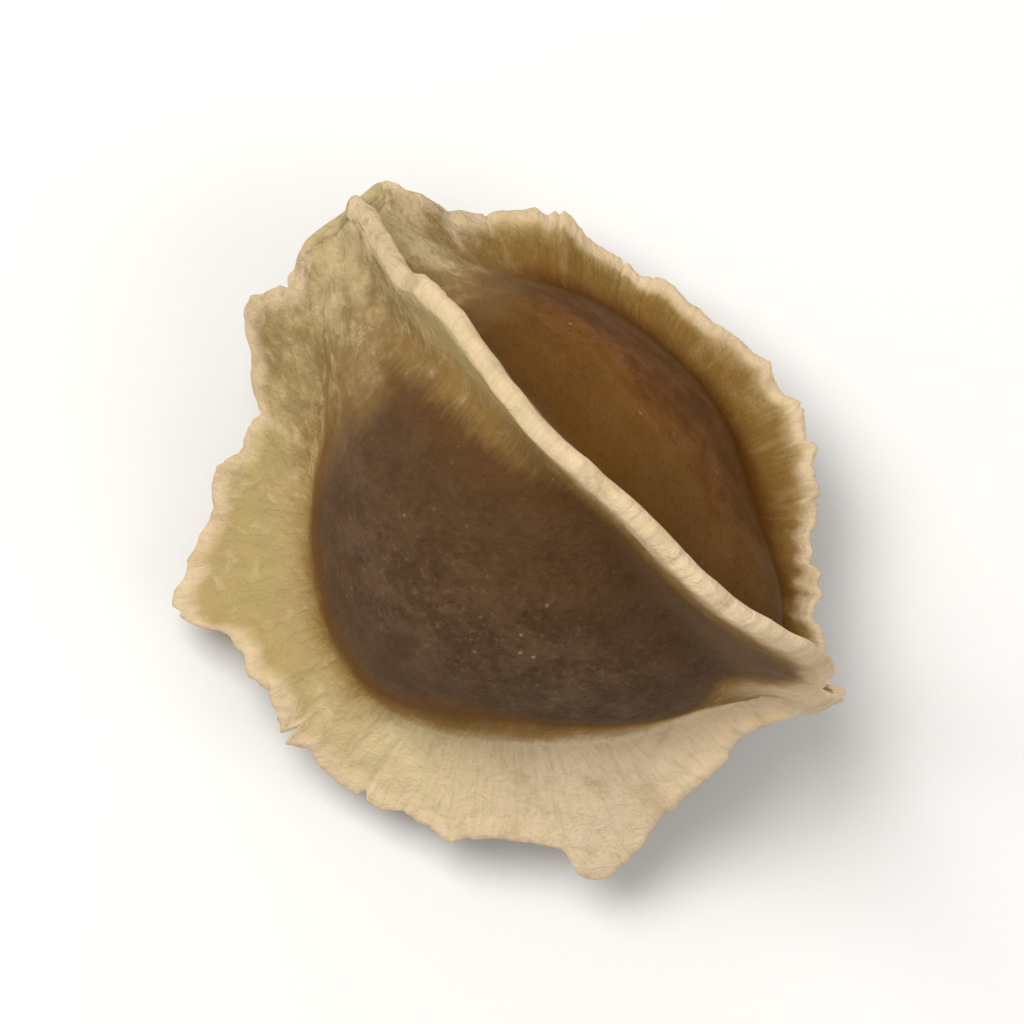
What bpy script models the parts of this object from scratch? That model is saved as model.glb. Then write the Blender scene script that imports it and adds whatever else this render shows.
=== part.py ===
"""A moringa seed: a round, three-sided hull with three papery wings that run from its neck to its tip.

Metres, +Z up. The seed's long axis lies along X, neck at -X and tip at +X. It rests on a small flat
spot of its lower face, with one wing upright and the other two held just clear of the ground.
Shapes are worked out in millimetres round the middle of the hull, and placed at the end.
"""

import math
import random

import bmesh
import bpy

MM = 0.001

# Hull, measured from its middle
HULL_RIDGE = 4.85  # out to the foot of a wing
FACES = (4.20, 4.45, 3.65)  # out to the middle of the near, lower and far face
TAPER = 0.42  # how much slimmer the hull is on its way to the tip
TAPER_ANGLE = 132.0  # degrees off the neck where it is slimmest for its length
TAPER_SPREAD = 28.0
NECK_DRAWN = 2.0  # how far the hull is drawn out towards the neck
NECK_SPREAD = 16.0  # degrees of the hull that are drawn out with it
TIP_DRAWN = 0.5
TIP_SPREAD = 9.0
NECK_HOLLOW = 0.25  # how far each valley between two wings sinks in at the end itself
TIP_HOLLOW = 0.15
NECK_POINT = 0.1  # how far the middle of the blunt end stands out
TIP_POINT = 0.35
REST_FLAT = 0.18  # depth of the flat spot that the seed rests on

# Wings: outlines as (along the axis, out from the axis), from the neck to the tip
TOP_WING = (
    (-7.2, 0.9), (-6.7, 1.8), (-6.0, 2.8), (-5.4, 3.6), (-5.0, 4.6), (-4.3, 5.4), (-2.8, 6.3),
    (-1.0, 6.7), (1.0, 6.6), (2.8, 6.2), (4.3, 5.5), (5.3, 4.3), (5.7, 2.9), (5.8, 1.5), (6.2, 0.4),
)
NEAR_WING = (
    (-7.2, 0.9), (-6.9, 1.6), (-7.0, 2.7), (-6.3, 3.1), (-5.5, 3.5), (-5.1, 4.0), (-5.1, 4.6),
    (-4.7, 5.3), (-4.3, 6.1), (-4.0, 6.85), (-3.4, 6.8), (-2.8, 6.35), (-2.1, 6.25), (-1.4, 6.25),
    (-0.7, 6.5), (0.2, 6.55), (1.0, 6.45), (1.9, 6.2), (2.7, 6.0), (3.1, 5.95), (3.3, 5.55),
    (3.9, 5.4), (4.7, 5.15), (5.0, 5.25), (5.4, 5.6), (5.75, 5.45), (5.7, 4.0), (5.6, 2.5),
    (5.5, 1.3), (5.7, 0.75), (6.2, 0.4),
)
FAR_WING = (
    (-7.1, 0.9), (-6.5, 1.8), (-5.8, 2.5), (-5.2, 3.5), (-4.3, 4.6), (-2.8, 5.4), (-1.0, 5.8),
    (-0.4, 6.0), (0.6, 6.05), (1.6, 5.8), (2.2, 5.45), (2.7, 5.1), (3.1, 4.5), (3.9, 3.55),
    (4.7, 2.4), (5.2, 1.6), (5.7, 0.75), (6.2, 0.4),
)
WING_ANGLES = (-3.0, 117.0, 253.0)  # round the axis, from straight up towards -Y
WING_LEANS = (0.45, 0.0, 0.0)  # how far a wing's edge leans aside where the hull is widest
WING_THICKNESS = 0.62
EDGE_ROUNDING = WING_THICKNESS / 4  # how far the middle of a wing's edge stands out past its sides
FOOT_WIDTH = 0.4  # how far each side of a wing flares where it meets the hull
FOOT_RISE = 0.9  # how far up the wing that flare reaches
FOOT_SHARE = 0.55  # the flare's most, as a share of the wing's own height
FLARE_SHARE = 0.28  # the flare's most, as a share of the hull's radius there
FOOT_LIMIT = 0.72  # a foot's half width at most, as a share of that radius

# Irregular growth
NECK_BEND = (1.1, 2)  # how far towards +Y at the bend's length, and the power it grows with
TIP_BEND = (2.0, 3)
BEND_LENGTH = 6.3  # from the hull's middle
WAVES = (  # a wing's sideways waves: (waves in half a turn of its edge, height)
    ((1.5, 0.12), (4.0, 0.07)),
    ((2.0, 0.28), (4.5, 0.14)),
    ((1.5, 0.30), (5.0, 0.12)),
)
WAVE_POWER = 1.5  # how the waves grow from a wing's foot to its edge
RAGGED = (0.06, 0.14, 0.14)  # how far the teeth of each wing's edge stand in or out
TOOTH_STEP = 3.2  # degrees between teeth
SEED_OF_DRAWS = 7

# Mesh
NECK_ANGLE = 8.0  # degrees off the axis where the rings start
TIP_ANGLE = 5.0
RINGS = 65
WING_STEPS = 3
FOOT_STEPS = 2
FACE_STEPS = 9
CURVE_STEPS = 12
SMOOTH_BELOW = 70.0  # degrees between faces that are still shaded smooth


def smooth_outline(points):
    """Points along a smooth curve through the outline's, as (angle off the neck, reach)."""
    last = len(points) - 1
    curve = []
    for index in range(last):
        before, start = points[max(index - 1, 0)], points[index]
        end, after = points[index + 1], points[min(index + 2, last)]
        for step in range(CURVE_STEPS + (index == last - 1)):
            t = step / CURVE_STEPS
            along, out = (
                0.5 * (2 * b + (c - a) * t + (2 * a - 5 * b + 4 * c - d) * t**2
                       + (3 * b - a - 3 * c + d) * t**3)
                for a, b, c, d in zip(before, start, end, after)
            )
            curve.append((math.atan2(out, -along), math.hypot(along, out)))
    return curve


def between(curve, angle):
    """The value of a curve of (angle, value) pairs at an angle, straight between its points."""
    for (start, low), (end, high) in zip(curve, curve[1:]):
        if start <= angle < end:
            return low + (high - low) * (angle - start) / (end - start)
    return curve[0][1] if angle < curve[0][0] else curve[-1][1]


def teeth(draw):
    """A ragged line of (angle, height) pairs from neck to tip."""
    count = int(180 / TOOTH_STEP) + 1
    return [(math.radians(index * TOOTH_STEP), draw.uniform(-1, 1)) for index in range(count + 1)]


def swell(height, middle, spread, angle):
    """A swelling round a middle. Middle and spread are in degrees, the angle in radians."""
    return height * math.exp(-(((math.degrees(angle) - middle) / spread) ** 2))


def face_width(face):
    """How far a face runs round the axis, from its own wing to the next."""
    return math.radians((WING_ANGLES[(face + 1) % 3] - WING_ANGLES[face]) % 360)


def face_reach(face, turn):
    """From the axis to a face's arc, at a turn from its own wing, where the hull is widest."""
    width, middle = face_width(face), FACES[face]
    centre = (HULL_RIDGE**2 - middle**2) / 2 / (HULL_RIDGE * math.cos(width / 2) - middle)
    off = turn - width / 2
    return centre * math.cos(off) + math.sqrt((middle - centre) ** 2 - (centre * math.sin(off)) ** 2)


def hull_reach(angle, face=0, turn=0.0):
    """From the hull's middle to its skin, at an angle off the neck and a turn over a face."""
    drawn = swell(NECK_DRAWN, 0, NECK_SPREAD, angle) + swell(TIP_DRAWN, 180, TIP_SPREAD, angle)
    sunk = (HULL_RIDGE - face_reach(face, turn)) * math.sin(angle) ** 2
    return HULL_RIDGE + drawn - sunk - swell(TAPER, TAPER_ANGLE, TAPER_SPREAD, angle)


class Wing:
    def __init__(self, number, outline, draw):
        self.number = number
        self.turn = math.radians(WING_ANGLES[number])
        self.lean = WING_LEANS[number]
        self.outline = smooth_outline(outline)
        self.teeth = teeth(draw)
        self.waves = [(2 * count, height, draw.uniform(0, math.tau)) for count, height in WAVES[number]]

    def reach(self, angle):
        return between(self.outline, angle) + RAGGED[self.number] * between(self.teeth, angle)

    def wave(self, angle, share):
        """How far the wing stands aside at a share of the way from its foot to its edge."""
        wave = sum(h * math.sin(count * angle + start) for count, h, start in self.waves)
        return self.lean * math.sin(angle) * share + wave * share**WAVE_POWER

    def place(self, along, out, aside):
        """A point given along the axis, out along the wing and aside from it."""
        sine, cosine = math.sin(self.turn), math.cos(self.turn)
        return (along, -out * sine - aside * cosine, out * cosine - aside * sine)

    def foot_turn(self, angle):
        """How far round the axis the wing's foot reaches to each side."""
        radius = hull_reach(angle) * math.sin(angle)
        half = WING_THICKNESS / 2 + min(FOOT_WIDTH, FLARE_SHARE * radius)
        return math.asin(min(half / radius, FOOT_LIMIT))

    def side(self, angle, sign):
        """The points of one side of the wing, from its foot to its edge, on the ray at an angle."""
        turn = self.foot_turn(angle)
        if sign > 0:
            foot_reach = hull_reach(angle, self.number, turn)
        else:
            face = (self.number - 1) % 3
            foot_reach = hull_reach(angle, face, face_width(face) - turn)
        radius = foot_reach * math.sin(angle)
        half = radius * math.sin(turn)
        start = (-foot_reach * math.cos(angle), radius * math.cos(turn))
        reach = self.reach(angle) - EDGE_ROUNDING
        end = (-reach * math.cos(angle), reach * math.sin(angle))
        length = math.dist(start, end)
        rise = min(FOOT_RISE, FOOT_SHARE * length)
        shares = [rise * (1 - math.cos(step / FOOT_STEPS * math.pi / 2)) / length
                  for step in range(FOOT_STEPS)]
        shares += [(rise + (length - rise) * step / WING_STEPS) / length for step in range(WING_STEPS + 1)]
        points = []
        for share in shares:
            climb = min(share * length / rise, 1)
            flare = (half - WING_THICKNESS / 2) * (1 - math.sqrt(1 - (1 - climb) ** 2))
            aside = sign * (WING_THICKNESS / 2 + flare) + self.wave(angle, share)
            along, out = (a + (b - a) * share for a, b in zip(start, end))
            points.append(self.place(along, out, aside))
        return points

    def edge(self, angle):
        """The middle of the wing's rounded edge."""
        reach = self.reach(angle)
        return self.place(-reach * math.cos(angle), reach * math.sin(angle), self.wave(angle, 1))


def face_row(wing, following, angle):
    """The skin of a hull face between two wings, without the points at their feet."""
    first = wing.foot_turn(angle)
    last = face_width(wing.number) - following.foot_turn(angle)
    row = []
    for step in range(1, FACE_STEPS):
        turn = first + (last - first) * step / FACE_STEPS
        reach = hull_reach(angle, wing.number, turn)
        out = reach * math.sin(angle)
        heading = wing.turn + turn
        row.append((-reach * math.cos(angle), -out * math.sin(heading), out * math.cos(heading)))
    return row


class Shell:
    """Collects the seed's points and triangles, and which material each triangle has."""

    def __init__(self):
        self.points = []
        self.faces = []
        self.papery = []

    def add(self, points):
        first = len(self.points)
        self.points += points
        return list(range(first, len(self.points)))

    def strip(self, row, other, papery=True, flip=False):
        """Joins two rows of as many points with triangles."""
        for a, b, c, d in zip(row, row[1:], other[1:], other):
            self.faces += [(a, b, d), (b, c, d)] if flip else [(a, b, c), (a, c, d)]
            self.papery += [papery, papery]


def ring_at(shell, wings, angle):
    """One ring of points: for each wing its back side, edge and front side, then the face after it."""
    ring = []
    for number, wing in enumerate(wings):
        following = wings[(number + 1) % len(wings)]
        ring.append({
            "back": shell.add(wing.side(angle, -1)),
            "edge": shell.add([wing.edge(angle)]),
            "front": shell.add(wing.side(angle, 1)),
            "face": shell.add(face_row(wing, following, angle)),
        })
    return ring


def join_rings(shell, ring, after):
    """Joins two rings. The front and back of a wing are split into triangles alike."""
    for number, (wing, other) in enumerate(zip(ring, after)):
        following, other_following = (rows[(number + 1) % len(rows)] for rows in (ring, after))
        shell.strip(wing["back"], other["back"])
        shell.strip(*(w["back"][-1:] + w["edge"] + w["front"][-1:] for w in (wing, other)))
        shell.strip(wing["front"][::-1], other["front"][::-1], flip=True)
        shell.strip(
            wing["front"][:1] + wing["face"] + following["back"][:1],
            other["front"][:1] + other["face"] + other_following["back"][:1],
            papery=False,
        )


def close_end(shell, ring, hollow, point):
    """Closes the end ring: the valleys between the wings' last rays, and the blunt end itself."""
    rim = []
    for number, wing in enumerate(ring):
        following = ring[(number + 1) % len(ring)]
        row = wing["front"][:1] + wing["face"] + following["back"][:1]
        for left, right in zip(wing["front"][1:], following["back"][1:]):
            start, end = shell.points[left], shell.points[right]
            between_them = []
            for step in range(1, FACE_STEPS):
                share = step / FACE_STEPS
                middle = [a + (b - a) * share for a, b in zip(start, end)]
                sag = 4 * share * (1 - share) * hollow
                between_them.append((middle[0], middle[1] * (1 - sag), middle[2] * (1 - sag)))
            other = [left] + shell.add(between_them) + [right]
            shell.strip(row, other)
            row = other
        rim += wing["back"][-1:] + wing["edge"] + row[:-1]
    along, across, up = (sum(shell.points[index][axis] for index in rim) / len(rim) for axis in range(3))
    centre = shell.add([(along + point, across, up)])[0]
    shell.faces += [(a, b, centre) for a, b in zip(rim, rim[1:] + rim[:1])]
    shell.papery += [True] * len(rim)


def grown(point):
    """A point after the seed's bend, and flattened where it rests."""
    along, across, up = point
    bend, power = NECK_BEND if along < 0 else TIP_BEND
    return along, across + bend * (abs(along) / BEND_LENGTH) ** power, max(up, REST_FLAT - FACES[1])


def seed_shell():
    draw = random.Random(SEED_OF_DRAWS)
    wings = [Wing(number, outline, draw) for number, outline in enumerate((TOP_WING, NEAR_WING, FAR_WING))]
    shell = Shell()
    first, last = math.radians(NECK_ANGLE), math.pi - math.radians(TIP_ANGLE)
    rings = [ring_at(shell, wings, first + (last - first) * step / (RINGS - 1)) for step in range(RINGS)]
    for ring, after in zip(rings, rings[1:]):
        join_rings(shell, ring, after)
    close_end(shell, rings[0], NECK_HOLLOW, -NECK_POINT)
    close_end(shell, rings[-1], TIP_HOLLOW, TIP_POINT)
    return shell


def material(name, colour, roughness):
    made = bpy.data.materials.new(name)
    made.use_nodes = True
    shader = made.node_tree.nodes["Principled BSDF"]
    shader.inputs["Base Color"].default_value = (*colour, 1)
    shader.inputs["Roughness"].default_value = roughness
    shader.inputs["Metallic"].default_value = 0
    return made


def moringa_seed():
    shell = seed_shell()
    points = [grown(point) for point in shell.points]
    lows = [min(point[axis] for point in points) for axis in range(3)]
    highs = [max(point[axis] for point in points) for axis in range(3)]
    origin = ((lows[0] + highs[0]) / 2, (lows[1] + highs[1]) / 2, lows[2])
    mesh = bpy.data.meshes.new("moringa_seed")
    placed = [[(value - start) * MM for value, start in zip(point, origin)] for point in points]
    mesh.from_pydata(placed, [], shell.faces)
    outward = bmesh.new()
    outward.from_mesh(mesh)
    bmesh.ops.recalc_face_normals(outward, faces=outward.faces)
    outward.to_mesh(mesh)
    outward.free()
    mesh.shade_smooth()
    mesh.set_sharp_from_angle(angle=math.radians(SMOOTH_BELOW))
    mesh.materials.append(material("brown_hull", (0.13, 0.06, 0.03), 0.5))
    mesh.materials.append(material("papery_wing", (0.62, 0.48, 0.28), 0.75))
    mesh.polygons.foreach_set("material_index", shell.papery)
    seed = bpy.data.objects.new("moringa_seed", mesh)
    bpy.context.scene.collection.objects.link(seed)
    return seed


for old in list(bpy.data.objects):
    bpy.data.objects.remove(old)
moringa_seed()
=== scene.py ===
"""The looks of a moringa seed: a brown, mottled hull and three waved papery wings with torn edges.

The hull's and wings' own shape repeats the solid's, in millimetres round the middle of the hull. Finer
growth is added to it: pleats and fibres of the wings, torn edges, lumps of the hull and a wrinkled neck.
"""

import math
import random

import bmesh
import bpy
import numpy as np
from mathutils import Matrix, Vector, noise


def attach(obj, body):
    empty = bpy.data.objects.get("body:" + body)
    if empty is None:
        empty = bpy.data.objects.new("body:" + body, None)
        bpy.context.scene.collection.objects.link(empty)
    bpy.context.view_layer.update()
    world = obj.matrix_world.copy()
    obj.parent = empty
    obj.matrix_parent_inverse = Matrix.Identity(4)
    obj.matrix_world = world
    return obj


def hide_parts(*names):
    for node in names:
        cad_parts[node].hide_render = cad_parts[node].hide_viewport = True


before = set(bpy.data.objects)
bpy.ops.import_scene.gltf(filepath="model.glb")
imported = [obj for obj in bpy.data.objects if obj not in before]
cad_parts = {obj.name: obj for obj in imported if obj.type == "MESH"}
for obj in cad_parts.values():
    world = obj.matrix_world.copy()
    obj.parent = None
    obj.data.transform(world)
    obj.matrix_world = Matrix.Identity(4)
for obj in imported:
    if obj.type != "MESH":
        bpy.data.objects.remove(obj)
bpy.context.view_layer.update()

MM = 0.001

# The solid's own shape, in millimetres from the middle of the hull
HULL_MIDDLE = (0.4701, 0.0871, 4.27)  # where that middle lies in the frame
HULL_RIDGE = 4.85
FACES = (4.20, 4.45, 3.65)
TAPER = 0.42
TAPER_ANGLE = 132.0
TAPER_SPREAD = 28.0
NECK_DRAWN = 2.0
NECK_SPREAD = 16.0
TIP_DRAWN = 0.5
TIP_SPREAD = 9.0
NECK_HOLLOW = 0.25
TIP_HOLLOW = 0.15
NECK_POINT = 0.1
TIP_POINT = 0.35
REST_FLAT = 0.18
TOP_WING = (
    (-7.2, 0.9), (-6.7, 1.8), (-6.0, 2.8), (-5.4, 3.6), (-5.0, 4.6), (-4.3, 5.4), (-2.8, 6.3),
    (-1.0, 6.7), (1.0, 6.6), (2.8, 6.2), (4.3, 5.5), (5.3, 4.3), (5.7, 2.9), (5.8, 1.5), (6.2, 0.4),
)
NEAR_WING = (
    (-7.2, 0.9), (-6.9, 1.6), (-7.0, 2.7), (-6.3, 3.1), (-5.5, 3.5), (-5.1, 4.0), (-5.1, 4.6),
    (-4.7, 5.3), (-4.3, 6.1), (-4.0, 6.85), (-3.4, 6.8), (-2.8, 6.35), (-2.1, 6.25), (-1.4, 6.25),
    (-0.7, 6.5), (0.2, 6.55), (1.0, 6.45), (1.9, 6.2), (2.7, 6.0), (3.1, 5.95), (3.3, 5.55),
    (3.9, 5.4), (4.7, 5.15), (5.0, 5.25), (5.4, 5.6), (5.75, 5.45), (5.7, 4.0), (5.6, 2.5),
    (5.5, 1.3), (5.7, 0.75), (6.2, 0.4),
)
FAR_WING = (
    (-7.1, 0.9), (-6.5, 1.8), (-5.8, 2.5), (-5.2, 3.5), (-4.3, 4.6), (-2.8, 5.4), (-1.0, 5.8),
    (-0.4, 6.0), (0.6, 6.05), (1.6, 5.8), (2.2, 5.45), (2.7, 5.1), (3.1, 4.5), (3.9, 3.55),
    (4.7, 2.4), (5.2, 1.6), (5.7, 0.75), (6.2, 0.4),
)
WING_ANGLES = (-3.0, 117.0, 253.0)
WING_LEANS = (0.45, 0.0, 0.0)
WING_THICKNESS = 0.62
EDGE_ROUNDING = WING_THICKNESS / 4  # how far the middle of a wing's edge stands out past its sides
FOOT_WIDTH = 0.4
FOOT_RISE = 0.9
FOOT_SHARE = 0.55
FLARE_SHARE = 0.28
FOOT_LIMIT = 0.72
NECK_BEND = (1.1, 2)
TIP_BEND = (2.0, 3)
BEND_LENGTH = 6.3
WAVES = (
    ((1.5, 0.12), (4.0, 0.07)),
    ((2.0, 0.28), (4.5, 0.14)),
    ((1.5, 0.30), (5.0, 0.12)),
)
WAVE_POWER = 1.5
RAGGED = (0.06, 0.14, 0.14)
TOOTH_STEP = 3.2
SEED_OF_DRAWS = 7
NECK_ANGLE = 8.0
TIP_ANGLE = 5.0
CURVE_STEPS = 12

# Finer growth, in millimetres
RIM_THICKNESSES = (0.42, 0.15, 0.14)  # of each wing at its edge
THINNING = 0.8  # power that a wing thins with from its foot to its edge
TEARS = ((1.15, 0.05), (0.6, 0.02))  # finer teeth: (degrees between them, height)
NICKS = 9  # notches torn out of a wing's edge
NICK_RANGE = (12, 168)  # in degrees off the neck
NICK_WIDTHS = (0.35, 1.1)  # in degrees
NICK_DEPTHS = (0.08, 0.30)
TORN = (0.2, 0.9, 0.35)  # each wing's share of tears and nicks
PLEATS = ((2.6, 0.16), (6.0, 0.05))  # uneven folds of a wing: (how many in a radian, height)
PLEAT_CHANGE = 1.5  # how many of them follow each other from a wing's foot to its edge
PLEATED = (0.25, 1.0, 0.45)  # each wing's share of them
CREASES = (12.0, 1.3, 0.03)  # a wing's: (how many in a radian, in a millimetre outwards, height)
NECK_CREASES = ((1.3, 0.16), (2.9, 0.08))  # (how many in a millimetre, height)
NECK_FOLDS = (7.0, 9.0, 0.14)  # (how many in a radian round the neck, in one off the neck, height)
NECK_FADE = 22.0  # degrees off the neck over which its creases and folds fade
LUMPS = ((0.28, 0.06), (0.9, 0.03), (2.4, 0.012))  # the hull's: (how many in a millimetre, height)
END_WRINKLES = (2.2, 0.12)  # over the blunt ends: (how many in a millimetre, height)
NOISE_APART = 10  # how far apart the wings' folds lie in the noise that they are taken from
GRAIN_TURN = 40.0  # degrees round the axis where the grain's third direction starts

# Mesh
RINGS = 500
WING_STEPS = 11
FOOT_STEPS = 4
FACE_STEPS = 26
EDGE_ROWS = (-0.8, -0.4, 0.0, 0.4, 0.8)  # over a wing's edge, as shares of its half thickness
END_ROWS = 6
END_SKIN = 2.0  # the distance from foot and edge that points have where neither counts
END_LIE = (0.5, 0.5)  # the warmth and the share of the way over a face on the blunt ends
FACE_WARMTHS = (0.0, 0.5, 1.0)  # how warm the near, lower and far face look
DUST_CELLS = 2.4  # in a millimetre, with at most one speck of dust in each


def smooth_outline(points):
    """The angles off the neck and the reaches along a smooth curve through the outline's points."""
    last = len(points) - 1
    angles, reaches = [], []
    for index in range(last):
        before, start = points[max(index - 1, 0)], points[index]
        end, after = points[index + 1], points[min(index + 2, last)]
        for step in range(CURVE_STEPS + (index == last - 1)):
            t = step / CURVE_STEPS
            along, out = (
                0.5 * (2 * b + (c - a) * t + (2 * a - 5 * b + 4 * c - d) * t**2
                       + (3 * b - a - 3 * c + d) * t**3)
                for a, b, c, d in zip(before, start, end, after)
            )
            angles.append(math.atan2(out, -along))
            reaches.append(math.hypot(along, out))
    return angles, reaches


def teeth(draw, step):
    """A ragged line from neck to tip: its angles and its heights from -1 to 1."""
    count = int(180 / step) + 2
    return np.radians(np.arange(count) * step), [draw.uniform(-1, 1) for _ in range(count)]


def nicks(draw):
    """Notches in an edge: (angle, half width, depth)."""
    notches = []
    for _ in range(NICKS):
        middle, width = draw.uniform(*NICK_RANGE), draw.uniform(*NICK_WIDTHS)
        notches.append((math.radians(middle), math.radians(width), draw.uniform(*NICK_DEPTHS)))
    return notches


def noise_at(*coordinates):
    """Smooth noise from about -1 to 1 at coordinates that are arrays or numbers."""
    arrays = np.broadcast_arrays(*coordinates)
    points = np.stack([array.ravel() for array in arrays], 1)
    return np.array([noise.noise(Vector(point)) for point in points]).reshape(arrays[0].shape)


def swell(height, middle, spread, angle):
    """A swelling round a middle. Middle and spread are in degrees, the angle in radians."""
    return height * np.exp(-(((np.degrees(angle) - middle) / spread) ** 2))


def face_width(face):
    """How far a face runs round the axis, from its own wing to the next."""
    return math.radians((WING_ANGLES[(face + 1) % 3] - WING_ANGLES[face]) % 360)


def face_reach(face, turn):
    """From the axis to a face's arc, at a turn from its own wing, where the hull is widest."""
    width, middle = face_width(face), FACES[face]
    centre = (HULL_RIDGE**2 - middle**2) / 2 / (HULL_RIDGE * math.cos(width / 2) - middle)
    off = turn - width / 2
    return centre * np.cos(off) + np.sqrt((middle - centre) ** 2 - (centre * np.sin(off)) ** 2)


def hull_reach(angle, face=0, turn=0.0):
    """From the hull's middle to its skin, at an angle off the neck and a turn over a face."""
    drawn = swell(NECK_DRAWN, 0, NECK_SPREAD, angle) + swell(TIP_DRAWN, 180, TIP_SPREAD, angle)
    sunk = (HULL_RIDGE - face_reach(face, turn)) * np.sin(angle) ** 2
    return HULL_RIDGE + drawn - sunk - swell(TAPER, TAPER_ANGLE, TAPER_SPREAD, angle)


def creased(*place):
    """The height of the neck's creases at a place given by three arrays or numbers."""
    return sum(height * noise_at(*(count * part for part in place)) for count, height in NECK_CREASES)


def stacked(*coordinates):
    """Arrays or numbers side by side along a new last direction."""
    return np.stack(np.broadcast_arrays(*coordinates), -1)


class Wing:
    """A wing, from neck to tip, with its foot on the hull."""

    def __init__(self, number, outline, draw, fine_draw):
        self.number = number
        self.turn = math.radians(WING_ANGLES[number])
        self.rim = RIM_THICKNESSES[number]
        self.outline = smooth_outline(outline)
        self.teeth = teeth(draw, TOOTH_STEP)
        self.waves = [(2 * count, height, draw.uniform(0, math.tau)) for count, height in WAVES[number]]
        self.tears = [(teeth(fine_draw, step), height) for step, height in TEARS]
        self.nicks = nicks(fine_draw)

    def reach(self, angle):
        """From the hull's middle to the wing's ragged edge."""
        reach = np.interp(angle, *self.outline) + RAGGED[self.number] * np.interp(angle, *self.teeth)
        tears = sum(height * np.interp(angle, *line) for line, height in self.tears)
        for middle, width, depth in self.nicks:
            tears = tears - depth * np.maximum(1 - np.abs(angle - middle) / width, 0)
        return reach + TORN[self.number] * tears

    def wave(self, angle, share):
        """How far the wing stands aside at a share of the way from its foot to its edge."""
        wave = sum(h * np.sin(count * angle + start) for count, h, start in self.waves)
        change, apart = share * PLEAT_CHANGE, NOISE_APART * self.number
        pleats = sum(h * noise_at(angle * count, change, apart) for count, h in PLEATS)
        reach = self.reach(angle) * share
        in_radian, outwards, height = CREASES
        creases = height * noise_at(angle * in_radian, reach * outwards, self.number)
        by_neck = creased(-reach * np.cos(angle), reach * np.sin(angle), self.number)
        creases = creases + swell(1, 0, NECK_FADE, angle) * by_neck
        lean = WING_LEANS[self.number] * np.sin(angle)
        return share * (lean + creases) + share**WAVE_POWER * (wave + PLEATED[self.number] * pleats)

    def place(self, along, out, aside):
        """Points given along the axis, out along the wing and aside from it."""
        sine, cosine = math.sin(self.turn), math.cos(self.turn)
        return stacked(along, -out * sine - aside * cosine, out * cosine - aside * sine)

    def foot_turn(self, angle):
        """How far round the axis the wing's foot reaches to each side."""
        radius = hull_reach(angle) * np.sin(angle)
        half = WING_THICKNESS / 2 + np.minimum(FOOT_WIDTH, FLARE_SHARE * radius)
        return np.arcsin(np.minimum(half / radius, FOOT_LIMIT))

    def side(self, angle, sign):
        """One side of the wing from foot to edge: points, distances from foot and edge, and turn."""
        turn = self.foot_turn(angle)
        if sign > 0:
            foot_reach = hull_reach(angle, self.number, turn)
        else:
            face = (self.number - 1) % 3
            foot_reach = hull_reach(angle, face, face_width(face) - turn)
        radius = foot_reach * np.sin(angle)
        half = radius * np.sin(turn)
        start = -foot_reach * np.cos(angle), radius * np.cos(turn)
        reach = self.reach(angle) - EDGE_ROUNDING
        end = -reach * np.cos(angle), reach * np.sin(angle)
        length = np.hypot(end[0] - start[0], end[1] - start[1])
        rise = np.minimum(FOOT_RISE, FOOT_SHARE * length)
        foot_part = rise * (1 - np.cos(np.arange(FOOT_STEPS) / FOOT_STEPS * math.pi / 2))
        wing_part = rise + (length - rise) * np.arange(WING_STEPS + 1) / WING_STEPS
        risen = np.concatenate([foot_part, wing_part], 1)
        share = risen / length
        flare = (half - WING_THICKNESS / 2) * (1 - np.sqrt(1 - (1 - np.minimum(risen / rise, 1)) ** 2))
        thickness = WING_THICKNESS + (self.rim - WING_THICKNESS) * share**THINNING
        along, out = (a + (b - a) * share for a, b in zip(start, end))
        aside = sign * (thickness / 2 + flare) + self.wave(angle, share)
        return self.place(along, out, aside), risen, length - risen, self.turn

    def edge(self, angle):
        """The wing's rounded edge, from its back side to its front."""
        rows = np.array(EDGE_ROWS)
        reach = self.reach(angle) - EDGE_ROUNDING * rows**2
        aside = self.wave(angle, 1) + rows * self.rim / 2
        return self.place(-reach * np.cos(angle), reach * np.sin(angle), aside)


def face_rows(wing, following, angle):
    """A face between two wings: points, distances from the nearest foot, turns and shares."""
    first, last = wing.foot_turn(angle), face_width(wing.number) - following.foot_turn(angle)
    share = np.arange(1, FACE_STEPS) / FACE_STEPS
    turn = first + (last - first) * share
    reach = hull_reach(angle, wing.number, turn)
    heading = wing.turn + turn
    spread = stacked(-np.cos(angle), -np.sin(angle) * np.sin(heading), np.sin(angle) * np.cos(heading))
    away = reach * np.sin(angle) * np.minimum(turn - first, last - turn)
    place = [spread[..., axis] * reach for axis in range(3)]
    lumps = sum(h * noise_at(*(part * count + wing.number for part in place)) for count, h in LUMPS)
    round_neck, off_neck, height = NECK_FOLDS
    folds = height * noise_at(heading * round_neck, angle * off_neck, wing.number)
    wrinkles = swell(1, 0, NECK_FADE, angle) * (folds + creased(*place))
    calm = np.minimum(away / FOOT_RISE, 1)
    return spread * (reach + (lumps + wrinkles) * calm)[..., None], away, heading, share


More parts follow.
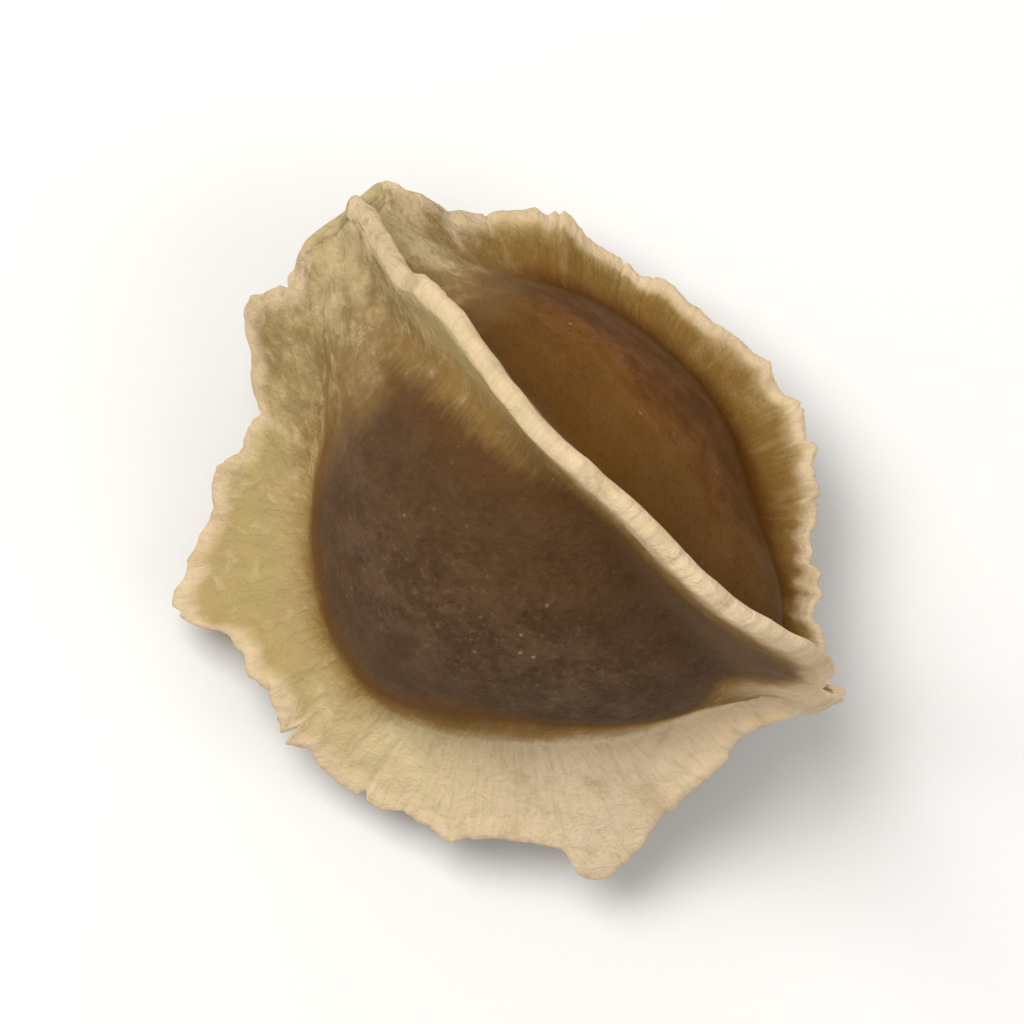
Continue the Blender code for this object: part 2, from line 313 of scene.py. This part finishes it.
class Shell:
    """Collects the seed's points, what the material needs to know of each, and its faces."""

    def __init__(self):
        self.points = []
        self.skin = []  # (way out from the wing's foot, way in from its edge, degrees off the neck)
        self.grain = []  # (way along the wing, way out from the middle, way round the axis)
        self.lie = []  # (warmth of the face that it looks to, share of the way over that face, nothing)
        self.faces = []
        self.count = 0

    def add(self, points, foot, edge, angle, turn, warmth, across):
        """Adds a grid of points and returns their numbers."""
        shape = points.shape[:-1]
        reach = np.linalg.norm(points, axis=-1)
        round_axis = np.cos(turn - math.radians(GRAIN_TURN))
        self.points.append(points.reshape(-1, 3))
        self.skin.append(stacked(foot, edge, np.degrees(angle) + np.zeros(shape)).reshape(-1, 3))
        self.grain.append(stacked(angle * HULL_RIDGE, reach, round_axis).reshape(-1, 3))
        self.lie.append(stacked(warmth, across, np.zeros(shape)).reshape(-1, 3))
        first = self.count
        self.count += self.points[-1].shape[0]
        return np.arange(first, self.count).reshape(shape)

    def join(self, grid):
        """Adds the faces between the rows of a grid of point numbers."""
        corners = (grid[:-1, :-1], grid[:-1, 1:], grid[1:, 1:], grid[1:, :-1])
        self.faces += np.stack([corner.ravel() for corner in corners], 1).tolist()


def close_end(shell, ends, angle, hollow, point):
    """Closes an end: the valleys between the wings' last rays, and the blunt end itself."""
    rim = []
    share = np.arange(1, FACE_STEPS) / FACE_STEPS
    arch = (4 * share * (1 - share))[:, None]
    count, height = END_WRINKLES
    for number, (back, edge, front, face) in enumerate(ends):
        following = ends[(number + 1) % len(ends)][0]
        rows = [np.concatenate([front[:1], face, following[:1]])]
        points, skins = np.concatenate(shell.points), np.concatenate(shell.skin)
        turn = math.radians(WING_ANGLES[number]) + face_width(number) * share
        for step, (left, right) in enumerate(zip(front[1:], following[1:]), 1):
            out = skins[left][0] + END_SKIN * step / len(front)
            middle = points[left] + (points[right] - points[left]) * share[:, None]
            middle[:, 1:] *= 1 - hollow * arch
            wrinkles = noise_at(*(middle[:, axis] * count for axis in range(3)))
            middle[:, 0] += height * arch[:, 0] * wrinkles
            added = shell.add(middle, out, END_SKIN, angle, turn, FACE_WARMTHS[number], share)
            rows.append(np.concatenate([[left], added, [right]]))
        shell.join(np.array(rows))
        rim += [back[-1], *edge, *rows[-1][:-1]]
    ring = np.concatenate(shell.points)[rim]
    middle = ring.mean(0)
    rows = [np.array(rim + rim[:1])]
    for turn in np.linspace(0, math.pi / 2, END_ROWS + 1)[1:-1]:
        shrunk = middle + (ring - middle) * math.cos(turn) + (point * math.sin(turn), 0, 0)
        added = shell.add(shrunk, END_SKIN, END_SKIN, angle, np.zeros(len(rim)), *END_LIE)
        rows.append(np.append(added, added[0]))
    shell.join(np.array(rows))
    centre = shell.add(middle[None] + (point, 0, 0), END_SKIN, END_SKIN, angle, np.zeros(1), *END_LIE)[0]
    shell.faces += [(int(a), int(b), int(centre)) for a, b in zip(rows[-1], rows[-1][1:])]


def grown(points):
    """Points after the seed's bend, and flattened where it rests."""
    along, across, up = points.T
    shares = np.abs(along) / BEND_LENGTH
    neck, tip = (bend * shares**power for bend, power in (NECK_BEND, TIP_BEND))
    bent = across + np.where(along < 0, neck, tip)
    return stacked(along, bent, np.maximum(up, REST_FLAT - FACES[1]))


def seed_shell():
    """All points and faces of the seed, still straight and in millimetres."""
    draw, fine_draw = random.Random(SEED_OF_DRAWS), random.Random(SEED_OF_DRAWS + 1)
    outlines = (TOP_WING, NEAR_WING, FAR_WING)
    wings = [Wing(number, outline, draw, fine_draw) for number, outline in enumerate(outlines)]
    shell = Shell()
    angle = np.linspace(math.radians(NECK_ANGLE), math.pi - math.radians(TIP_ANGLE), RINGS)[:, None]
    blocks = []
    for wing in wings:
        following = wings[(wing.number + 1) % len(wings)]
        behind, ahead = FACE_WARMTHS[wing.number - 1], FACE_WARMTHS[wing.number]
        points, out, inward, turn = wing.side(angle, -1)
        back = shell.add(points, out, inward, angle, turn, behind, across=1.0)
        points, out, inward, turn = wing.side(angle, 1)
        front = shell.add(points, out, inward, angle, turn, ahead, across=0.0)
        between = (behind + ahead) / 2
        edge = shell.add(wing.edge(angle), END_SKIN, 0.0, angle, wing.turn, between, across=0.5)
        points, away, turn, share = face_rows(wing, following, angle)
        face = shell.add(points, -away, END_SKIN, angle, turn, ahead, share)
        blocks.append((back, edge, front, face))
    columns = [part for back, edge, front, face in blocks for part in (back, edge, front[:, ::-1], face)]
    grid = np.concatenate(columns + [columns[0][:, :1]], 1)
    shell.join(grid)
    for ring, hollow, point in ((0, NECK_HOLLOW, -NECK_POINT), (-1, TIP_HOLLOW, TIP_POINT)):
        ends = [[part[ring] for part in block] for block in blocks]
        close_end(shell, ends, angle[ring], hollow, point)
    return shell


def seed_object():
    """The seed in its place, with what its material needs to know of each point."""
    shell = seed_shell()
    points = (grown(np.concatenate(shell.points)) + HULL_MIDDLE) * MM
    mesh = bpy.data.meshes.new("whole_seed")
    mesh.from_pydata(points.tolist(), [], shell.faces)
    for name, values in (("skin", shell.skin), ("grain", shell.grain), ("lie", shell.lie)):
        attribute = mesh.attributes.new(name, "FLOAT_VECTOR", "POINT")
        attribute.data.foreach_set("vector", np.concatenate(values).astype(np.float32).ravel())
    outward = bmesh.new()
    outward.from_mesh(mesh)
    bmesh.ops.recalc_face_normals(outward, faces=outward.faces)
    outward.to_mesh(mesh)
    outward.free()
    mesh.shade_smooth()
    seed = bpy.data.objects.new("whole_seed", mesh)
    bpy.context.scene.collection.objects.link(seed)
    return seed


# Colours of the hull and of the papery skin, linear
HULL_DEEP = (0.066, 0.033, 0.0125)
HULL_PALE = (0.108, 0.057, 0.024)
HULL_FLECK = (0.190, 0.120, 0.062)
HULL_PIT = (0.030, 0.013, 0.004)
HULL_MARGIN = (0.072, 0.032, 0.008)
HULL_ON_WING = (0.150, 0.085, 0.034)
HULL_BY_NECK = (0.190, 0.105, 0.030)
FAR_DEEP = (0.118, 0.037, 0.002)
FAR_PALE = (0.195, 0.067, 0.006)
FAR_OLIVE = (0.180, 0.090, 0.008)
FAR_BY_UPRIGHT = (0.260, 0.116, 0.014)
# painted shade: near-black brown for the far face's crease along a wing's foot
FAR_CREASE_SHADE = (0.080, 0.028, 0.002)
ORANGE = (0.180, 0.074, 0.015)
DUST = (0.400, 0.300, 0.190)
WING_FOOT = (0.265, 0.146, 0.036)
WING_CREAM = (0.610, 0.480, 0.262)
WING_BY_TIP = (0.680, 0.532, 0.350)
WING_OLIVE = (0.378, 0.274, 0.098)
WING_FLECK = (0.800, 0.680, 0.470)
# pale rim of the paper, partly its own colour and partly a painted highlight along the edge
WING_RIM_AND_HIGHLIGHT = (0.730, 0.555, 0.355)
WING_STRAND = (0.400, 0.290, 0.140)
WING_FIBRE = (0.360, 0.240, 0.105)
WING_STAIN = (0.370, 0.240, 0.105)
# brown of the far face's wing sides, partly the paper's colour and partly painted shade
FAR_WING_BROWN_AND_SHADE = (0.196, 0.104, 0.022)
COLLAR = (0.260, 0.165, 0.060)
NECK_FLAKE = (0.640, 0.500, 0.280)
NECK_PIT = (0.200, 0.120, 0.045)

# Where the skin is papery: (from, to), in millimetres or in degrees off the neck
PAPER_BORDER = (-0.45, 0.55)  # past the border between the hull's skin and the wings'
PAPER_RIM = (0.0, 0.55)  # in from a wing's edge
NECK_PAPER = (17, 31)  # where the neck's papery skin ends
NECK_TORN = (26, 48)  # where its torn flakes end

# Where the hull's colours come in or fade out: (from, to)
HULL_MARGIN_AT = (-3.6, -1.6)  # millimetres past the border
ORANGE_AT = (-1.5, -0.2)  # millimetres past the border
HULL_ON_WING_AT = (0.0, 0.7)  # millimetres out from a wing's foot
FAR_CREASE_SHADE_AT = (0.1, 0.8)  # millimetres from a wing's foot, up or down, where the far face's crease gets painted shade
FAR_CREASE_SHADE_FADE = (0.6, 1.0)  # share of the way over the face, where that painted crease shade fades
HULL_BY_NECK_AT = (24, 44)  # degrees off the neck
FAR_AT = (18, 40)  # degrees off the neck
FAR_OLIVE_AT = (118, 160)  # degrees off the neck
FAR_BY_UPRIGHT_AT = (0.45, 0.9)  # share of the way over the face

# Where the wings' colours come in or fade out: (from, to)
WING_CREAM_AT = (0.25, 1.4)  # millimetres past the border
WING_OLIVE_AT = (0.2, 1.4)  # millimetres past the border
FAR_WING_BROWN_AND_SHADE_AT = (0.04, 0.6)  # millimetres in from a wing's edge, for the far face's brown with its painted shade
WING_RIM_HIGHLIGHT_WIDTHS = (0.5, 0.3)  # millimetres in from the edge, on other faces and on the far one, of the pale rim with its painted highlight
NECK_CREAM_AT = (12, 25)  # degrees off the neck
NECK_OLIVE_AT = (12, 36)  # degrees off the neck
OLIVE_END_AT = (72, 104)  # degrees off the neck
WING_BY_TIP_AT = (95, 140)  # degrees off the neck
COLLAR_AT = (10, 20)  # degrees off the neck
COLLAR_END_AT = (20, 36)  # degrees off the neck
WING_FIBRE_AT = (20, 50)  # degrees off the neck

# How far the border is moved in from a wing's foot: (from, to, first move, last move)
BY_LOWER_WING = (84, 112, 0.3, 1.5)  # by degrees off the neck
BY_UPRIGHT_WING = (55, 140, 0.1, -1.9)
BY_UPRIGHT_TIP = (146, 168, 0.0, 2.5)  # on top of the line before
HALFWAY = (0.4, 0.7)  # shares of the way over a face, where one wing gives way to the next
OTHER_FACES = (*HALFWAY, -0.5, -1.0)  # by the share of the way over the face

# How far a whole step of the noise moves a border, in millimetres
BORDER_WANDER = 0.9
BORDER_STREAKS = 0.65
RIM_WANDER = 0.8
BROWN_STREAKS = 0.7

# The same in degrees, and the last in shares of the way over the face
NECK_WANDER = 31.5
FAR_OLIVE_WANDER = 60
WING_OLIVE_WANDER = 46
FAR_BY_UPRIGHT_WANDER = 0.5

# How fine the skin's long marks are, along each direction of the place or of the grain
FLAKE_SCALES = (1.2, 2.2, 2.2)
FIBRE_SCALES = (13.0, 1.6, 4.0)
STRAND_SCALES = (3.0, 0.6, 3.0)

# Gloss, and relief in millimetres
HULL_ROUGHNESS = (0.60, 0.44)
PAPER_ROUGHNESS = 0.85
SPECULAR_LEVELS = (0.15, 0.03)  # of plain and of dull skin
SKIN_IOR = 1.4
PIT_DEPTH = 0.06
CREASE_DEPTH = 0.09


class Looks:
    """A material whose nodes are added and joined one by one."""

    def __init__(self, name):
        self.material = bpy.data.materials.new(name)
        self.material.use_nodes = True
        self.tree = self.material.node_tree
        self.shader = self.tree.nodes["Principled BSDF"]

    def add(self, kind, sockets=(), **settings):
        """A node with its settings, and its sockets joined or set."""
        node = self.tree.nodes.new("ShaderNode" + kind)
        for name, value in settings.items():
            setattr(node, name, value)
        for socket, value in dict(sockets).items():
            self.put(node.inputs[socket], value)
        return node

    def put(self, socket, value):
        if isinstance(value, bpy.types.NodeSocket):
            self.tree.links.new(value, socket)
        elif socket.type == "RGBA":
            socket.default_value = (*value, 1.0)
        else:
            socket.default_value = value

    def look(self, name, value):
        """Sets or joins one of the shader's own sockets."""
        self.put(self.shader.inputs[name], value)

    def parts(self, attribute):
        vector = self.add("Attribute", attribute_name=attribute).outputs["Vector"]
        return list(self.add("SeparateXYZ", {"Vector": vector}).outputs)

    def noise(self, vector, scale=1.0, detail=4.0, rough=0.5, warp=0.0):
        names = ("Vector", "Scale", "Detail", "Roughness", "Distortion")
        return self.add("TexNoise", zip(names, (vector, scale, detail, rough, warp))).outputs["Fac"]

    def maths(self, operation, *values, clamp=False):
        return self.add("Math", enumerate(values), operation=operation, use_clamp=clamp).outputs[0]

    def times(self, value, factor):
        return self.maths("MULTIPLY", value, factor)

    def plus(self, value, addend, factor=1.0):
        """A value, and an addend times a factor."""
        return self.maths("MULTIPLY_ADD", addend, factor, value)

    def ramp(self, value, low, high, to_low=0.0, to_high=1.0):
        """A smooth step between two values."""
        names = ("Value", "From Min", "From Max", "To Min", "To Max")
        sockets = zip(names, (value, low, high, to_low, to_high))
        return self.add("MapRange", sockets, interpolation_type="SMOOTHSTEP").outputs["Result"]

    # The Mix node's sockets are taken by number, because they share their names

    def mix(self, share, first, second):
        """A colour between two others."""
        return self.add("Mix", {0: share, 6: first, 7: second}, data_type="RGBA").outputs[2]

    def mix_numbers(self, share, first, second):
        return self.add("Mix", {0: share, 2: first, 3: second}).outputs[0]

    def mix_vectors(self, share, first, second):
        return self.add("Mix", {0: share, 4: first, 5: second}, data_type="VECTOR").outputs[1]

    def stretched(self, vector, scale):
        return self.add("VectorMath", {0: vector, 1: scale}, operation="MULTIPLY").outputs[0]

    def bump(self, height, distance):
        return self.add("Bump", {"Height": height, "Distance": distance}).outputs["Normal"]


class SeedLooks(Looks):
    """The seed's skin, by where each point of it lies. Lengths are in millimetres, angles in degrees."""

    def __init__(self):
        super().__init__("seed_skin")
        self.place = self.stretched(self.add("TexCoord").outputs["Object"], (1 / MM,) * 3)
        self.grain = self.add("Attribute", attribute_name="grain").outputs["Vector"]
        self.out, self.inward, self.angle = self.parts("skin")
        self.warmth, self.across, _ = self.parts("lie")
        self.mottle = self.noise(self.place, scale=1.5, detail=6.0, rough=0.62, warp=0.3)
        self.specks = self.noise(self.place, scale=7.0, detail=5.0, rough=0.68)
        self.fine = self.noise(self.place, scale=9.0, rough=0.6, warp=0.3)
        self.crinkle = self.noise(self.place, scale=2.4, detail=6.0, rough=0.68, warp=0.5)
        lengthwise = self.stretched(self.place, FLAKE_SCALES)
        self.flakes = self.noise(lengthwise, detail=7.0, rough=0.70, warp=0.3)
        self.fibres = self.noise(self.stretched(self.grain, FIBRE_SCALES), rough=0.6, warp=0.8)
        self.streaks = self.maths("SUBTRACT", self.fibres, 0.5)
        wander = self.noise(self.place, scale=0.9, detail=5.0, rough=0.65)
        self.wander = self.maths("SUBTRACT", wander, 0.5)
        self.neck = self.plus(self.angle, self.wander, NECK_WANDER)
        self.neck_end = self.ramp(self.neck, *NECK_PAPER, 1.0, 0.0)
        self.torn = self.ramp(self.neck, *NECK_TORN, 1.0, 0.0)
        far_face = self.ramp(self.warmth, *FACE_WARMTHS[1:])
        self.far = self.times(far_face, self.ramp(self.neck, *FAR_AT))
        self.rim = self.plus(self.inward, self.wander, RIM_WANDER)
        self.past = self.past_border()
        self.orange = self.orange_share()
        self.dress()

    def past_border(self):
        """How far out a point lies past the uneven border where the papery skin starts.

        On the near face the border lies on the hull by the lower wing and climbs the upright wing.
        On the other faces it lies a little way up the wings.
        """
        lower = self.ramp(self.angle, *BY_LOWER_WING)
        upright = self.ramp(self.angle, *BY_UPRIGHT_WING)
        upright = self.plus(upright, self.ramp(self.angle, *BY_UPRIGHT_TIP))
        near = self.mix_numbers(self.ramp(self.across, *HALFWAY), upright, lower)
        other = self.ramp(self.across, *OTHER_FACES)
        shift = self.mix_numbers(self.ramp(self.warmth, *FACE_WARMTHS[:2]), near, other)
        past = self.plus(self.plus(self.out, shift), self.wander, BORDER_WANDER)
        return self.plus(past, self.streaks, BORDER_STREAKS)

    def orange_share(self):
        """How orange the hull is, most of all by the lower wings."""
        downward = self.mix_numbers(self.far, self.across, self.maths("SUBTRACT", 1.0, self.across))
        return self.times(self.ramp(self.past, *ORANGE_AT), self.ramp(downward, *HALFWAY, 0.2, 0.6))

    def paper_share(self):
        """Where the skin is papery: past the border, along a wing's edge and round the neck."""
        edge = self.ramp(self.rim, *PAPER_RIM, 1.0, 0.0)
        wing = self.maths("MAXIMUM", self.ramp(self.past, *PAPER_BORDER), edge)
        return self.maths("MAXIMUM", wing, self.neck_end)

    def hull(self):
        """Mottled dark browns, warmer on the far face and redder by the wings, with specks of dust and
        painted shade in the far face's creases along the wings' feet.
        """
        light = self.ramp(self.mottle, 0.34, 0.66)
        far = self.mix(light, FAR_DEEP, FAR_PALE)
        by_tip = self.plus(self.angle, self.wander, FAR_OLIVE_WANDER)
        by_tip = self.ramp(by_tip, *FAR_OLIVE_AT, 0.0, 0.8)
        by_upright = self.plus(self.across, self.wander, FAR_BY_UPRIGHT_WANDER)
        by_upright = self.ramp(by_upright, *FAR_BY_UPRIGHT_AT, 0.0, 0.75)
        far = self.mix(by_upright, self.mix(by_tip, far, FAR_OLIVE), FAR_BY_UPRIGHT)
        cells = self.add("TexVoronoi", {"Vector": self.place, "Scale": DUST_CELLS}).outputs["Distance"]
        dusty = self.times(self.ramp(cells, 0.05, 0.13, 0.55, 0.0), self.ramp(self.mottle, 0.44, 0.60))
        near = self.maths("SUBTRACT", 1.0, self.far)
        # Painted shade: the far face darkened in its crease along a wing's foot
        crease_shade = self.ramp(self.maths("ABSOLUTE", self.out), *FAR_CREASE_SHADE_AT, 0.7, 0.0)
        crease_shade = self.times(self.far, crease_shade)
        crease_shade = self.times(crease_shade, self.ramp(self.across, *FAR_CREASE_SHADE_FADE, 1.0, 0.35))
        colour = self.mix(light, HULL_DEEP, HULL_PALE)
        for share, other in (
            (self.ramp(self.specks, 0.52, 0.70, 0.0, 0.45), HULL_FLECK),
            (self.times(self.far, 0.85), far),
            (self.ramp(self.specks, 0.30, 0.46, 0.6, 0.0), HULL_PIT),
            (dusty, DUST),
            (self.ramp(self.past, *HULL_MARGIN_AT, 0.0, 0.6), HULL_MARGIN),
            (self.times(near, self.ramp(self.out, *HULL_ON_WING_AT, 0.0, 0.6)), HULL_ON_WING),
            (self.orange, ORANGE),
            (crease_shade, FAR_CREASE_SHADE),
            (self.ramp(self.neck, *HULL_BY_NECK_AT, 0.8, 0.0), HULL_BY_NECK),
        ):
            colour = self.mix(share, colour, other)
        return colour

    def wings(self):
        """Tan at the foot and cream outwards, olive towards the neck and pale at the edge. The pale edge
        is partly the paper's colour and partly a painted highlight; on the far face the wing sides are
        brown partly as painted shade.
        """
        leaving = self.ramp(self.past, *WING_CREAM_AT)
        pale = self.maths("MAXIMUM", leaving, self.ramp(self.neck, *NECK_CREAM_AT, 0.8, 0.0))
        light = self.mix(self.ramp(self.angle, *WING_BY_TIP_AT), WING_CREAM, WING_BY_TIP)
        olive = self.plus(self.angle, self.wander, WING_OLIVE_WANDER)
        olive = self.ramp(olive, *OLIVE_END_AT, 0.8, 0.0)
        olive = self.times(olive, self.ramp(self.past, *WING_OLIVE_AT, 0.3, 1.0))
        olive = self.times(olive, self.ramp(self.neck, *NECK_OLIVE_AT, 0.35, 1.0))
        collar = self.ramp(self.neck, *COLLAR_END_AT, 1.0, 0.0)
        collar = self.times(collar, self.ramp(self.neck, *COLLAR_AT, 0.1, 0.85))
        # The far face's wing sides brown almost to the edge: partly the paper's colour, partly painted
        # shade
        brown_and_shade = self.plus(self.inward, self.streaks, BROWN_STREAKS)
        brown_and_shade = self.ramp(brown_and_shade, *FAR_WING_BROWN_AND_SHADE_AT, 0.0, 0.9)
        rim_highlight_width = self.mix_numbers(self.far, *WING_RIM_HIGHLIGHT_WIDTHS)
        strands = self.stretched(self.grain, STRAND_SCALES)
        strands = self.noise(strands, detail=5.0, rough=0.65, warp=0.5)
        stains = self.noise(self.place, scale=0.8, detail=6.0, rough=0.7, warp=0.4)
        fibred = self.ramp(self.fibres, 0.32, 0.52, 0.22, 0.0)
        fibred = self.times(fibred, self.ramp(self.neck, *WING_FIBRE_AT))
        colour = self.mix(pale, WING_FOOT, light)
        for share, other in (
            (olive, WING_OLIVE),
            (self.ramp(self.crinkle, 0.54, 0.74, 0.0, 0.3), WING_FLECK),
            (collar, COLLAR),
            (self.times(self.far, brown_and_shade), FAR_WING_BROWN_AND_SHADE),
            # Pale rim: partly the paper's own colour, partly a painted highlight along the edge
            (self.ramp(self.rim, 0.0, rim_highlight_width, 0.75, 0.0), WING_RIM_AND_HIGHLIGHT),
            (self.ramp(strands, 0.3, 0.5, 0.35, 0.0), WING_STRAND),
            (fibred, WING_FIBRE),
            (self.ramp(stains, 0.54, 0.74, 0.0, 0.5), WING_STAIN),
            (self.times(self.torn, self.ramp(self.flakes, 0.46, 0.68, 0.0, 0.55)), NECK_FLAKE),
            (self.times(self.torn, self.ramp(self.flakes, 0.30, 0.48, 0.5, 0.0)), NECK_PIT),
        ):
            colour = self.mix(share, colour, other)
        return colour

    def relief(self, paper):
        """Fine pits of the hull, and creases and fibres of the papery skin, deepest round the neck."""
        pits = self.plus(self.plus(self.mottle, self.specks, 0.9), self.fine, 0.6)
        creases = self.plus(self.times(self.fibres, 0.22), self.fine, 0.25)
        creases = self.plus(creases, self.crinkle, self.mix_numbers(self.torn, 1.1, 2.0))
        creases = self.plus(creases, self.torn, self.flakes)
        pitted, creased_skin = self.bump(pits, PIT_DEPTH * MM), self.bump(creases, CREASE_DEPTH * MM)
        return self.mix_vectors(paper, pitted, creased_skin)

    def dress(self):
        paper = self.paper_share()
        dull = self.maths("MAXIMUM", self.far, self.times(self.orange, 1.5), clamp=True)
        satin = self.ramp(self.mottle, 0.3, 0.7, *HULL_ROUGHNESS)
        self.look("Base Color", self.mix(paper, self.hull(), self.wings()))
        self.look("Roughness", self.mix_numbers(paper, satin, PAPER_ROUGHNESS))
        self.look("Specular IOR Level", self.mix_numbers(dull, *SPECULAR_LEVELS))
        self.look("IOR", SKIN_IOR)
        self.look("Normal", self.relief(paper))


# Camera, in metres: steep from the larger face's side, with the seed's axis falling to the right
CAMERA_ELEVATION = 78.0  # degrees
CAMERA_ROLL = 46.6  # degrees that the axis falls
CAMERA_LENS = 300.0  # millimetres
CAMERA_DISTANCE = 0.162
CAMERA_TARGET = (-0.0002, -0.0004, 0.0055)
CAMERA_CLIP = (0.001, 10.0)


def camera_axes():
    """The camera's right, up and backward directions."""
    rise, roll = math.radians(CAMERA_ELEVATION), math.radians(CAMERA_ROLL)
    back = Vector((0, -math.cos(rise), math.sin(rise)))
    level, steep = Vector((1, 0, 0)), back.cross(Vector((1, 0, 0)))
    right = level * math.cos(roll) + steep * math.sin(roll)
    up = steep * math.cos(roll) - level * math.sin(roll)
    return right, up, back


def placed(name, data, location, right, up, back):
    """A camera or a light at its place, with its own axes along three directions."""
    thing = bpy.data.objects.new(name, data)
    turn = Matrix((right, up, back)).transposed().to_4x4()
    thing.matrix_world = Matrix.Translation(location) @ turn
    bpy.context.scene.collection.objects.link(thing)
    return thing


def camera():
    data = bpy.data.cameras.new("camera")
    data.lens = CAMERA_LENS
    data.clip_start, data.clip_end = CAMERA_CLIP
    right, up, back = camera_axes()
    place = Vector(CAMERA_TARGET) + back * CAMERA_DISTANCE
    bpy.context.scene.camera = placed("camera", data, place, right, up, back)


# Lights: (name, side, height, towards the camera, distance, size, power), in metres and watts
LIGHTS = (
    ("key", -0.42, 0.48, 1.2, 0.16, 0.09, 0.24),
    ("fill", 0.9, -0.3, 0.8, 0.18, 0.14, 0.07),
    ("back", 0.2, 1.0, 0.15, 0.18, 0.12, 0.04),
)
WORLD_COLOUR = (1.0, 0.98, 0.95)
WORLD_STRENGTH = 0.45
FLOOR_HALF = 0.5  # from its middle to a side
FLOOR_COLOUR = (0.80, 0.79, 0.77)
FLOOR_ROUGHNESS = 0.7


def lights():
    right, up, back = camera_axes()
    target = Vector(CAMERA_TARGET)
    for name, side, height, towards, distance, size, power in LIGHTS:
        data = bpy.data.lights.new(name, "AREA")
        data.size = size
        data.energy = power
        away = (right * side + up * height + back * towards).normalized()
        turn = away.to_track_quat("Z", "Y").to_matrix().transposed()
        placed(name, data, target + away * distance, *turn)
    world = bpy.data.worlds.new("studio")
    world.use_nodes = True
    world.node_tree.nodes["Background"].inputs["Color"].default_value = (*WORLD_COLOUR, 1.0)
    world.node_tree.nodes["Background"].inputs["Strength"].default_value = WORLD_STRENGTH
    bpy.context.scene.world = world


def floor():
    mesh = bpy.data.meshes.new("floor")
    corners = [(x * FLOOR_HALF, y * FLOOR_HALF, 0) for x, y in ((-1, -1), (1, -1), (1, 1), (-1, 1))]
    mesh.from_pydata(corners, [], [(0, 1, 2, 3)])
    looks = Looks("pale_floor")
    looks.look("Base Color", FLOOR_COLOUR)
    looks.look("Roughness", FLOOR_ROUGHNESS)
    mesh.materials.append(looks.material)
    plane = bpy.data.objects.new("floor", mesh)
    bpy.context.scene.collection.objects.link(plane)


seed = seed_object()
seed.data.materials.append(SeedLooks().material)
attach(seed, "root")
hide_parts("moringa_seed")
floor()
lights()
camera()
bpy.context.scene.view_settings.view_transform = "Standard"
